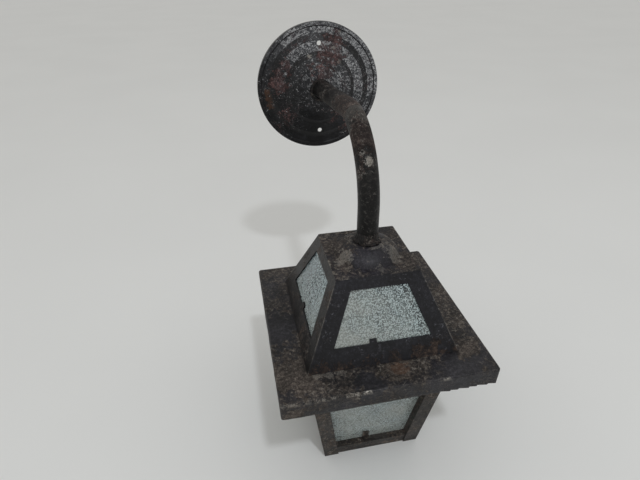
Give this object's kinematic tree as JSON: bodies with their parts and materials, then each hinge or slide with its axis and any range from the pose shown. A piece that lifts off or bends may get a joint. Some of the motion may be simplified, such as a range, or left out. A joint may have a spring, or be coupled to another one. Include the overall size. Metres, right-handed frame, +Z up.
{
  "type": "outdoor wall lantern",
  "caption": "Square glazed sheet-steel lantern with a wide flat eave, hung from a bent tube arm on a round pressed wall plate, with an open bottom.",
  "frame": {"origin": "centre of the wall plate, on the wall's plane", "axes": "+Y into the wall, +Z up, +X to the right of somebody facing the wall; the lantern hangs towards -Y"},
  "size_m": [0.19, 0.317, 0.3815],
  "materials": {
    "plate_paint": "black paint, chalked and speckled, with rust",
    "arm_steel": "painted tube, worn and rust-stained",
    "weld_steel": "dark, lumpy, rusted",
    "roof_steel": "smooth dark paint with rust at the edges",
    "eave_steel": "heavily rusted and mottled",
    "body_steel": "rusted and dusty",
    "pebbled_glass": "pebbled on one face, pale grey-green",
    "zinc_steel": "dull zinc",
    "opal_glass": "opal",
    "cap_metal": "satin",
    "solder": "dull",
    "black_glass": "gloss black",
    "porcelain": "aged grey-beige glaze",
    "brass": "satin",
    "brown_insulation": "matt",
    "blue_insulation": "matt",
    "green_yellow_insulation": "matt",
    "black_rubber": "matt",
    "white_nylon": "matt"
  },
  "bodies": {
    "lantern": {"arm_tube": "arm_steel", "body_glass_back": "pebbled_glass", "body_glass_front": "pebbled_glass", "body_glass_left": "pebbled_glass", "body_glass_right": "pebbled_glass", "body_post_back_left": "body_steel", "body_post_back_right": "body_steel", "body_post_front_left": "body_steel", "body_post_front_right": "body_steel", "bottom_rail_back": "body_steel", "bottom_rail_front": "body_steel", "bottom_rail_left": "body_steel", "bottom_rail_right": "body_steel", "cap_weld": "weld_steel", "centre_contact": "brass", "earth_nut": "zinc_steel", "earth_stud": "zinc_steel", "earth_tag": "brass", "earth_wire": "green_yellow_insulation", "eave": "eave_steel", "hanging_nipple": "zinc_steel", "lampholder_body": "porcelain", "lampholder_cap": "porcelain", "lampholder_insert": "porcelain", "live_wire": "brown_insulation", "neutral_wire": "blue_insulation", "nipple_locknut": "zinc_steel", "plate_weld": "weld_steel", "roof_cap": "eave_steel", "roof_clips": "zinc_steel", "roof_glass_back": "pebbled_glass", "roof_glass_front": "pebbled_glass", "roof_glass_left": "pebbled_glass", "roof_glass_right": "pebbled_glass", "roof_panel_back": "roof_steel", "roof_panel_front": "roof_steel", "roof_panel_left": "roof_steel", "roof_panel_right": "roof_steel", "screw_shell": "brass", "terminal_block": "white_nylon", "terminal_screws": "brass", "top_rail_back": "body_steel", "top_rail_front": "body_steel", "top_rail_left": "body_steel", "top_rail_right": "body_steel", "tube_bush": "zinc_steel", "tube_grommet": "black_rubber", "wall_plate": "plate_paint"},
    "lamp_drop": {"bulb_tip": "solder"},
    "lamp": {"bulb_glass": "opal_glass", "bulb_cap": "cap_metal", "bulb_insulator": "black_glass"}
  },
  "joints": [
    {"name": "lamp_drop", "type": "slide", "parent": "lantern", "child": "lamp_drop", "axis": [0, 0, -1], "range_m": [0, 0.01]},
    {"name": "lamp_turn", "type": "hinge", "parent": "lamp_drop", "child": "lamp", "pos_m": [0, -0.222, -0.1655], "axis": [0, 0, -1], "range_deg": [0, 990]}
  ],
  "couplings": [
    {"joint": "lamp_drop", "follows": "lamp_turn", "m_per_rad": 0.000577}
  ]
}
